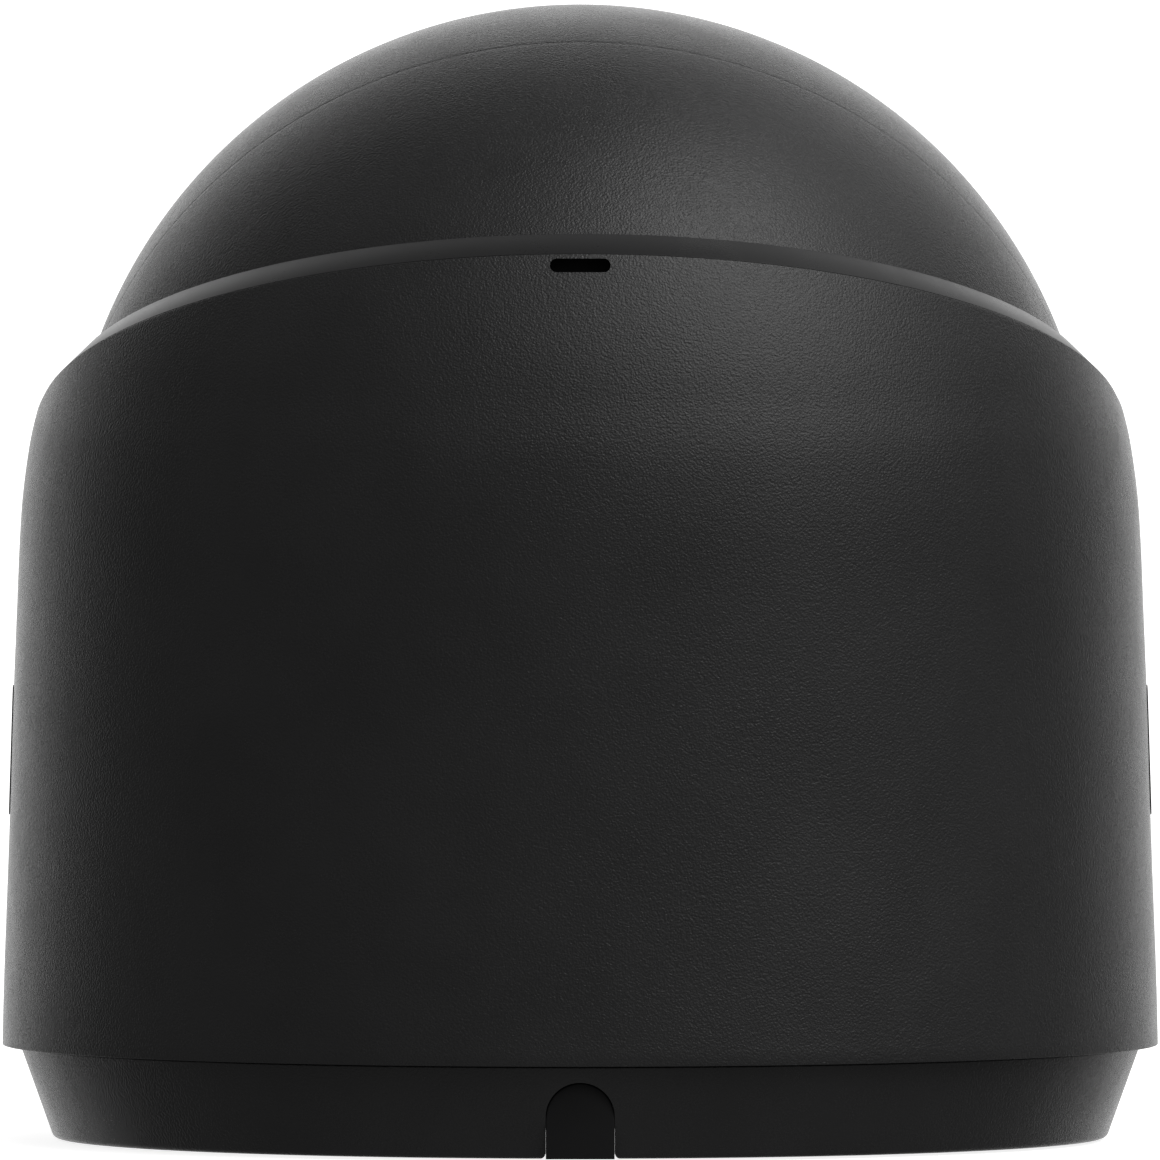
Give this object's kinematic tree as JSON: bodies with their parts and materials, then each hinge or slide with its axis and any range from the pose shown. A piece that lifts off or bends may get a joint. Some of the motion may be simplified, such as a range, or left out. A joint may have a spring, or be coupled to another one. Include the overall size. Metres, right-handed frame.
{
  "type": "turret security camera",
  "caption": "Compact weatherproof turret camera: ball camera held by a slanted ring in a round housing that turns on a mounting plate.",
  "frame": {"origin": "centre of the mounting plate's flat face, which is also the bottom centre of the bounding box", "axes": "+Z away from the surface the plate is fixed to; -Y is the side the lens faces at rest; +X completes the right hand"},
  "size_m": [0.086, 0.086, 0.0843],
  "materials": {
    "body_black": "satin black, fine pebble moulded grain",
    "band_black": "smooth satin black",
    "plug_black": "smooth matt black",
    "chassis_black": "moulded, fine matt",
    "seal_rubber": "matt black rubber",
    "pad_rubber": "matt black rubber",
    "fastener_steel": "stainless, satin",
    "spacer_brass": "turned brass",
    "board_green": "solder mask, satin",
    "component_black": "moulded component, matt",
    "component_white": "moulded nylon connector",
    "bearing_white": "acetal, satin",
    "transformer_wrap": "taped ferrite core",
    "capacitor_sleeve": "shrink sleeve",
    "heat_sink_aluminium": "extruded, bead blasted",
    "pad_thermal": "soft gap pad",
    "window_glass": "dark tinted, polished",
    "lens_glass": "coated, polished",
    "filter_glass": "coated, polished",
    "led_lens": "moulded dome, dark",
    "sensor_package": "sensor package with cover glass",
    "photocell": "clear resin",
    "button_red": "moulded, satin",
    "harness_sleeve": "flat sleeved harness"
  },
  "bodies": {
    "mount": {"mount_plate": "body_black", "cable_notch_plug": "plug_black", "pan_friction_ring": "pad_rubber"},
    "housing": {"housing_shell": "body_black", "retaining_ring": "band_black", "ball_wiper_seal": "seal_rubber", "bottom_chassis": "chassis_black", "chassis_oring": "seal_rubber", "chassis_screw_1": "fastener_steel", "chassis_screw_2": "fastener_steel", "chassis_screw_3": "fastener_steel", "chassis_screw_4": "fastener_steel", "cable_gland": "seal_rubber", "power_board": "board_green", "poe_transformer": "transformer_wrap", "filter_capacitor_1": "capacitor_sleeve", "filter_capacitor_2": "capacitor_sleeve", "cable_header": "component_white", "harness_header": "component_white", "ball_harness": "harness_sleeve", "reset_switch": "component_black", "pivot_pin_left": "fastener_steel", "pivot_pin_right": "fastener_steel", "friction_pad_left": "pad_rubber", "friction_pad_right": "pad_rubber", "tilt_lock_screw": "fastener_steel"},
    "reset_button": {"reset_button": "button_red"},
    "ball_rear": {"ball_rear_shell": "body_black", "rear_grommet": "seal_rubber"},
    "ball_front": {"ball_front_shell": "body_black", "roll_bearing_ring": "bearing_white", "roll_oring": "seal_rubber", "front_window": "window_glass", "window_gasket": "seal_rubber", "lens_light_baffle": "seal_rubber", "ir_led_board": "board_green", "ir_led_1": "led_lens", "ir_led_2": "led_lens", "ir_led_3": "led_lens", "ir_led_4": "led_lens", "daylight_sensor": "photocell", "microphone": "heat_sink_aluminium", "lens_barrel": "component_black", "lens_front_glass": "lens_glass", "lens_holder": "component_black", "ir_cut_filter": "filter_glass", "image_sensor": "sensor_package", "sensor_board": "board_green", "board_spacer_1": "spacer_brass", "board_spacer_2": "spacer_brass", "board_spacer_3": "spacer_brass", "board_spacer_4": "spacer_brass", "main_board": "board_green", "processor_chip": "component_black", "thermal_pad": "pad_thermal", "heat_sink": "heat_sink_aluminium", "harness_connector": "component_white"}
  },
  "joints": [
    {"name": "pan", "type": "hinge", "parent": "mount", "child": "housing", "pos_m": [0, 0, 0.00694], "axis": [0, 0, 1], "range_deg": [-177.5, 177.5]},
    {"name": "tilt", "type": "hinge", "parent": "housing", "child": "ball_rear", "pos_m": [0, 0, 0.04608], "axis": [-1, 0, 0], "range_deg": [-13, 67], "deforming": ["ball_harness"]},
    {"name": "roll", "type": "hinge", "parent": "ball_rear", "child": "ball_front", "pos_m": [0, 0, 0.04608], "axis": [0, -0.9205, 0.3907], "range_deg": [-175, 175]},
    {"name": "reset_press", "type": "slide", "parent": "housing", "child": "reset_button", "axis": [0, 0, 1], "range_m": [0, 0.0005], "stiffness_N_per_m": 1500}
  ]
}
